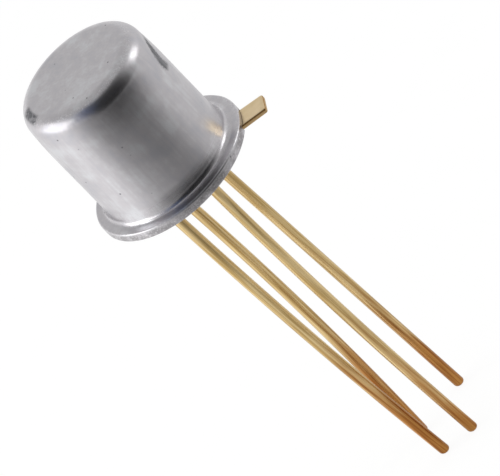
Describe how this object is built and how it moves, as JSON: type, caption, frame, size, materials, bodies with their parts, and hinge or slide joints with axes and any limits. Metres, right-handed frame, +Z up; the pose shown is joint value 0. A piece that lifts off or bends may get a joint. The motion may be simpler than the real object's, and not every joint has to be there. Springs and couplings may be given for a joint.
{
  "type": "mosfet transistor",
  "caption": "Field-effect transistor in a small round metal can with an index tab and gold-plated wire leads, for switching or amplifying on a circuit board.",
  "frame": {"origin": "centre of the seating plane, which is the underside of the header", "axes": "+Z up the can away from the leads, +X through the case lead and +Y through the source lead, with the index tab between them"},
  "size_m": [0.0056, 0.0056, 0.0184],
  "materials": {
    "nickel_plated_can": "satin nickel plate on drawn metal",
    "gold_plated_header": "satin gold plate",
    "gold_plated_lead": "gold plate, dulled by handling",
    "seal_glass": "dark green-grey sealing glass, fused",
    "gold_silicon_solder": "matt solder",
    "silicon": "polished silicon with aluminium tracks",
    "gold_bond_wire": "bright drawn gold"
  },
  "bodies": {
    "root": {"cap": "nickel_plated_can", "header_shell": "gold_plated_header", "glass_seal": "seal_glass", "lead_source": "gold_plated_lead", "lead_gate": "gold_plated_lead", "lead_drain": "gold_plated_lead", "lead_case": "gold_plated_lead", "die_attach": "gold_silicon_solder", "mosfet_die": "silicon", "bond_wire_source": "gold_bond_wire", "bond_wire_gate": "gold_bond_wire", "bond_wire_drain": "gold_bond_wire"}
  },
  "joints": []
}
